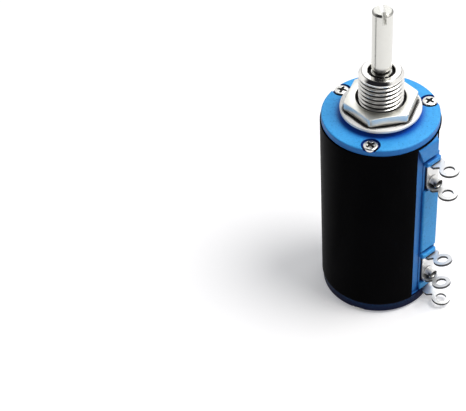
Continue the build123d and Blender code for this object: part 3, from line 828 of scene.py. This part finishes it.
def buildWasher():
    w = washer
    outline = rounded([(w["inner"], w["low"]), (w["outer"], w["low"]), (w["outer"], w["high"]),
                       (w["inner"], w["high"])], w["rounds"])
    plate = metalFinish("washerPlate", bright=(0.93, 0.92, 0.90), stained=(0.50, 0.47, 0.42),
                        rough=0.13, brushing=(3, 3, 3), depth=0.0015,
                        grooveShade=(1.15, 0.13, 0.25), frosted=washerRim)
    made = pieceFrom("washer", lathe(outline), plate, smoothAngle=50)
    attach(made, "washer")
    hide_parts("mounting_washer")


def buildNut():
    # hexagon whose corners are turned off by a shallow cone above and below
    n = nut
    halfSide = 180 / n["sides"]
    flat = n["acrossFlats"] / 2
    longest = flat / math.cos(math.radians(halfSide)) * n["cornerCut"]
    faceRadius = flat * n["faceShare"]
    outlines = []
    for step in range(n["steps"]):
        fromFlat = (360 * step / n["steps"] - n["cornerAzimuth"]) % (2 * halfSide) - halfSide
        reach = min(flat / math.cos(math.radians(fromFlat)), longest)
        drop = (reach - faceRadius) * n["coneRise"]
        outlines.append([
            (n["bore"], n["low"]), (faceRadius, n["low"]), (reach, n["low"] + drop),
            (reach, n["high"] - drop), (faceRadius, n["high"]),
            (n["countersink"], n["high"]), (n["bore"], n["high"] - n["countersinkDepth"]),
        ])
    mesh = bmesh.new()
    spin(mesh, outlines)
    bmesh.ops.recalc_face_normals(mesh, faces=mesh.faces)
    plate = metalFinish("nutPlate", bright=(0.82, 0.815, 0.76), stained=(0.52, 0.49, 0.45),
                        rough=0.26, brushing=(3, 3, 9), depth=0.0015,
                        grooveShade=(0.6, 0.35, 0.85), shade=nutBoreShade)
    made = pieceFrom("nut", mesh, plate)
    softEdges(made, n["round"], angle=n["sharpAngle"])
    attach(made, "nut")
    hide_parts("mounting_nut")


buildWasher()
buildNut()
print("washer and nut made")


screws = {
    "headRadius": 1.5, "headHeight": 0.75, "edgeHeight": 0.34, "crown": 0.12, "crownShare": 0.7,
    "headFoot": 0.03, "shankRadius": 0.65, "shankLength": 5.0, "tip": 0.3,
    "turns": 64, "bendSteps": 6,
    # rings of the head's top, close enough for the cross to be pressed into them
    "rings": [0.06, 0.12, 0.18, 0.24, 0.30, 0.38, 0.46, 0.54,
              0.62, 0.70, 0.78, 0.86, 0.94, 1.04, 1.14, 1.24],
    "crossHalf": 0.98, "crossWidth": 0.46, "crossDepth": 0.46, "crossSide": 0.07, "crossEnd": 0.10,
    # the arms narrow outwards, and the middle is deeper than they are
    "narrowFrom": 0.3, "narrow": 0.35, "armDepth": 0.72, "middleDepth": 0.28, "middle": 0.5,
    "darkDepth": 0.5,
    "circle": 10.2, "count": 3,
    "front": {"start": -100.0, "level": 45.6, "flip": 0.0, "turn": 38.0, "twist": 17.0},
    "rear": {"start": -110.0, "level": 0.85, "flip": 180.0, "turn": 12.0, "twist": -23.0},
}


def held(value):
    return min(1.0, max(0.0, value))


def crossPressed(x, y):
    # how deep the cross is pressed in at a place on the head
    s = screws
    arm, side = max(abs(x), abs(y)), min(abs(x), abs(y))
    half = s["crossWidth"] / 2 * (1 - s["narrow"] * max(0.0, (arm - s["narrowFrom"]) / s["crossHalf"]))
    across = held((half - side) / s["crossSide"] + 0.5)
    along = held((s["crossHalf"] - arm) / s["crossEnd"])
    middle = max(0.0, 1 - arm / s["middle"])
    return s["crossDepth"] * across * along * (s["armDepth"] + s["middleDepth"] * middle)


def screwMesh():
    # pan head with a tapered cross recess, underside of the head at the origin
    s = screws
    flatTop = s["rings"][-1]
    bend = s["headHeight"] - s["edgeHeight"] - s["crown"] * s["crownShare"]
    rows = [(radius, s["headHeight"] - s["crown"] * (radius / s["headRadius"]) ** 2, True)
            for radius in s["rings"]]
    for step in range(1, s["bendSteps"] + 1):
        angle = math.radians(90 / s["bendSteps"] * step)
        rows.append((flatTop + (s["headRadius"] - flatTop) * math.sin(angle),
                     s["edgeHeight"] + bend * math.cos(angle), False))
    rows += [(s["headRadius"], s["headFoot"], False), (s["headRadius"] - s["headFoot"], 0.0, False),
             (s["shankRadius"], 0.0, False), (s["shankRadius"], -s["shankLength"] + s["tip"], False),
             (s["shankRadius"] - s["tip"], -s["shankLength"], False)]
    mesh = bmesh.new()
    # pressed carries the recess depth that the finish paints as shade
    carried = mesh.verts.layers.float.new("pressed")
    rings = []
    for radius, height, top in rows:
        ring = []
        for step in range(s["turns"]):
            angle = math.tau * step / s["turns"]
            x, y = radius * math.cos(angle), radius * math.sin(angle)
            depth = crossPressed(x, y) if top else 0.0
            ring.append(mesh.verts.new((x * mm, y * mm, (height - depth) * mm)))
            ring[-1][carried] = held(depth / s["crossDepth"] / s["darkDepth"])
        rings.append(ring)
    joinRings(mesh, rings)
    centre = mesh.verts.new((0, 0, (s["headHeight"] - s["crossDepth"]) * mm))
    centre[carried] = 1.0
    tip = mesh.verts.new((0, 0, -s["shankLength"] * mm))
    for step in range(s["turns"]):
        after = (step + 1) % s["turns"]
        mesh.faces.new((centre, rings[0][step], rings[0][after]))
        mesh.faces.new((tip, rings[-1][after], rings[-1][step]))
    bmesh.ops.recalc_face_normals(mesh, faces=mesh.faces)
    return mesh


def screwTree():
    # copies the screw round a circle, each turned a little further than the last
    web, given = growTree("screwsOnCircle", {
        "Count": "Int", "Circle": "Float", "Start": "Float", "Level": "Float",
        "Flip": "Float", "Turn": "Float", "Twist": "Float", "Material": "Material"})
    spots = web.node("GeometryNodeMeshCircle", None, {"Vertices": given["Count"], "Radius": given["Circle"]})
    turned = web.node("ShaderNodeCombineXYZ", None, {"Z": given["Start"]})
    lifted = web.node("ShaderNodeCombineXYZ", None, {"Z": given["Level"]})
    placed = web.node("GeometryNodeTransform", None,
                      {"Geometry": spots, "Translation": lifted, "Rotation": turned})
    index = web.node("GeometryNodeInputIndex")
    spun = web.node("ShaderNodeCombineXYZ", None,
                    {"X": given["Flip"], "Z": given["Turn"] + index * given["Twist"]})
    copies = web.node("GeometryNodeInstanceOnPoints", None,
                      {"Points": placed, "Instance": given["Geometry"], "Rotation": spun})
    return closeTree(web, copies, given["Material"])


def buildScrews(tree):
    for end, node in (("front", "front_cap_screws"), ("rear", "rear_cap_screws")):
        e = screws[end]
        made = pieceFrom(end + "CapScrews", screwMesh(), finishes["screw_steel"])
        growOn(made, tree, {
            "Count": screws["count"], "Circle": screws["circle"] * mm, "Start": math.radians(e["start"]),
            "Level": e["level"] * mm, "Flip": math.radians(e["flip"]), "Turn": math.radians(e["turn"]),
            "Twist": math.radians(e["twist"]), "Material": finishes["screw_steel"]})
        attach(made, "housing")
        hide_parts(node)


buildScrews(screwTree())
print("cap screws made")


rivet = {
    # heights are distances out from the shaft's axis, because the rivets lie along the rail's direction
    "shank": 0.6, "inner": 9.0, "plate": 11.16, "intoPlate": 0.02, "head": 1.05, "headHeight": 0.2,
    "barrel": 0.86, "barrelFoot": 0.04, "flare": 0.98, "flareLength": 0.35, "end": 13.0,
    "bore": 0.62, "boreDepth": 1.5, "boreCone": 0.1,
    "headEdge": [(0, -0.06), (-0.08, 0)], "flareEdge": [(-0.02, -0.14), (0, -0.06), (-0.05, 0)],
    "boreEdge": [(0.12, -0.02), (0, -0.2)],
    # middle of the end rivets inside the CAD rivets' box, and how much lower the photographed ones sit
    "boxMargin": 0.95, "sink": 0.45, "across": 3.8, "count": 2, "turns": 40,
}


def rivetTree():
    # copies the hollow rivet up the rail, each lying along the rail's direction
    web, given = growTree("rivetsOnRail", {
        "Count": "Int", "Start": "Vector", "Step": "Float", "Turn": "Float", "Material": "Material"})
    line = web.node("GeometryNodeMeshLine", None,
                    {"Count": given["Count"], "Start Location": given["Start"],
                     "Offset": web.node("ShaderNodeCombineXYZ", None, {"Z": given["Step"]})})
    lying = web.node("ShaderNodeCombineXYZ", None, {"Y": math.pi / 2, "Z": given["Turn"]})
    copies = web.node("GeometryNodeInstanceOnPoints", None,
                      {"Points": line, "Instance": given["Geometry"], "Rotation": lying})
    return closeTree(web, copies, given["Material"])


def buildRivets(tree):
    r = rivet
    low, high = [corner[2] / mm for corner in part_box("terminal_rivets")]
    first, last = low + r["boxMargin"] - r["sink"], high - r["boxMargin"] - r["sink"]
    headFoot, neck = r["plate"] - r["intoPlate"], r["plate"] + r["headHeight"]
    boreFloor = r["end"] - r["boreDepth"]
    profile = [
        (0, r["inner"]), (r["shank"], r["inner"]), (r["shank"], headFoot), (r["head"], headFoot),
        *beside(r["head"], neck, r["headEdge"]),
        (r["barrel"], neck + r["barrelFoot"]), (r["barrel"], r["end"] - r["flareLength"]),
        *beside(r["flare"], r["end"], r["flareEdge"]), *beside(r["bore"], r["end"], r["boreEdge"]),
        (r["bore"], boreFloor), (0, boreFloor - r["boreCone"]),
    ]
    made = pieceFrom("rivets", lathe(profile, r["turns"]), finishes["tinned_sheet"])
    turn = math.radians(rail["azimuth"])
    start = (-math.sin(turn) * r["across"] * mm, math.cos(turn) * r["across"] * mm, first * mm)
    growOn(made, tree, {"Count": r["count"], "Start": start, "Step": (last - first) * mm,
                        "Turn": turn, "Material": finishes["tinned_sheet"]})
    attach(made, "housing")
    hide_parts("terminal_rivets")


buildRivets(rivetTree())
print("rivets made")


sleeve = {
    "outer": 12.0, "inner": 11.45, "low": 2.88, "high": 44.69,
    "windowStart": -51.8, "windowEnd": 10.0, "windowHigh": 44.35,
    "steps": 220, "hoopSteps": 40, "rows": [12.0, 23.0, 34.0], "endRow": 0.5, "round": 0.14,
}


def buildSleeve():
    # a wrapped tube, open over the rail, with a thin hoop left above the opening
    s = sleeve
    wall = 360 + s["windowStart"] - s["windowEnd"]
    angles = [s["windowEnd"] + wall * step / s["steps"] for step in range(s["steps"] + 1)]
    angles += [s["windowEnd"] + wall + (360 - wall) * step / s["hoopSteps"]
               for step in range(1, s["hoopSteps"])]
    levels = [s["low"], s["low"] + s["endRow"], *s["rows"], s["windowHigh"] - s["endRow"],
              s["windowHigh"], s["high"]]
    mesh = bmesh.new()
    count = len(angles)
    grid = {(side, column, row): mesh.verts.new(onAxis(radius, math.radians(degrees), level))
            for side, radius in (("out", s["outer"]), ("in", s["inner"]))
            for column, degrees in enumerate(angles) for row, level in enumerate(levels)}
    hoop = len(levels) - 2

    def there(column, row):
        return 0 <= row <= hoop and (row == hoop or column < s["steps"])

    for column in range(count):
        after, before = (column + 1) % count, (column - 1) % count
        for row in range(hoop + 1):
            if not there(column, row):
                continue
            spots = [(column, row), (after, row), (after, row + 1), (column, row + 1)]
            mesh.faces.new([grid["out", *spot] for spot in spots])
            mesh.faces.new([grid["in", *spot] for spot in reversed(spots)])
            # where nothing stands beside this patch, an edge joins the outside to the inside
            beyond = [(column, row - 1), (after, row), (column, row + 1), (before, row)]
            for first, neighbour in enumerate(beyond):
                second = (first + 1) % 4
                if not there(*neighbour):
                    mesh.faces.new((grid["out", *spots[second]], grid["out", *spots[first]],
                                    grid["in", *spots[first]], grid["in", *spots[second]]))
    bmesh.ops.delete(mesh, geom=[vert for vert in mesh.verts if not vert.link_faces], context="VERTS")
    bmesh.ops.recalc_face_normals(mesh, faces=mesh.faces)
    made = pieceFrom("sleeve", mesh, finishes["black_sleeve"])
    softEdges(made, s["round"], steps=3)
    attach(made, "housing")
    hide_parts("outer_sleeve")


buildSleeve()
print("sleeve made")


marks = {
    # the resistor's sign with its wiper, and the lugs' numbers: places are across and up the sleeve
    "azimuth": 62.0, "radius": 12.03, "line": 0.34, "overlap": 0.3, "thick": 0.05, "step": 0.6,
    "digitSize": 2.7,
    "strokes": [
        [(0, 36.0), (0, 31.5), (1.1, 30.9), (-1.1, 29.7), (1.1, 28.5), (-1.1, 27.3), (1.1, 26.1),
         (-1.1, 24.9), (1.1, 23.7), (-1.1, 22.5), (0, 21.9), (0, 17.4)],
        [(1.7, 26.7), (4.6, 26.7), (4.6, 21.0)],
        [(2.6, 27.5), (1.7, 26.7), (2.6, 25.9)],
    ],
    "digits": [("1", 0, 37.2), ("2", 4.6, 17.9), ("3", 0, 14.2)],
}


def drawStroke(mesh, first, last):
    # a straight bar in short pieces, which can follow the sleeve's curve
    along = (last - first).normalized()
    side = Vector((-along.y, along.x)) * marks["line"] / 2
    first = first - along * marks["line"] * marks["overlap"]
    last = last + along * marks["line"] * marks["overlap"]
    pieces = math.ceil((last - first).length / marks["step"])
    left, right = [], []
    for piece in range(pieces + 1):
        spot = first.lerp(last, piece / pieces)
        left.append(mesh.verts.new((*(spot + side), 0)))
        right.append(mesh.verts.new((*(spot - side), 0)))
    for piece in range(pieces):
        mesh.faces.new((right[piece], right[piece + 1], left[piece + 1], left[piece]))


def drawDigit(mesh, digit, across, up):
    letters = bpy.data.curves.new("digit" + digit, "FONT")
    letters.body = digit
    letters.size = marks["digitSize"]
    letters.align_x = "CENTER"
    holder = bpy.data.objects.new("digit" + digit, letters)
    bpy.context.scene.collection.objects.link(holder)
    graph = bpy.context.evaluated_depsgraph_get()
    graph.update()
    data = bpy.data.meshes.new_from_object(holder.evaluated_get(graph))
    data.transform(Matrix.Translation((across, up, 0)))
    mesh.from_mesh(data)
    bpy.data.objects.remove(holder)
    bpy.data.meshes.remove(data)


def buildMarks():
    # flat strokes and numbers, wrapped round the sleeve
    m = marks
    mesh = bmesh.new()
    for path in m["strokes"]:
        for first, last in zip(path, path[1:]):
            drawStroke(mesh, Vector(first), Vector(last))
    for digit, across, up in m["digits"]:
        drawDigit(mesh, digit, across, up)
    bmesh.ops.triangulate(mesh, faces=mesh.faces)
    for vert in mesh.verts:
        turn = math.radians(m["azimuth"]) + vert.co.x / m["radius"]
        vert.co = Vector((math.cos(turn) * m["radius"], math.sin(turn) * m["radius"], vert.co.y)) * mm
    made = pieceFrom("sleeveMarks", mesh, finishes["label_ink"])
    thickness = made.modifiers.new("thickness", "SOLIDIFY")
    thickness.thickness = m["thick"] * mm
    settle(made)
    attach(made, "housing")


buildMarks()
print("sleeve marks made")
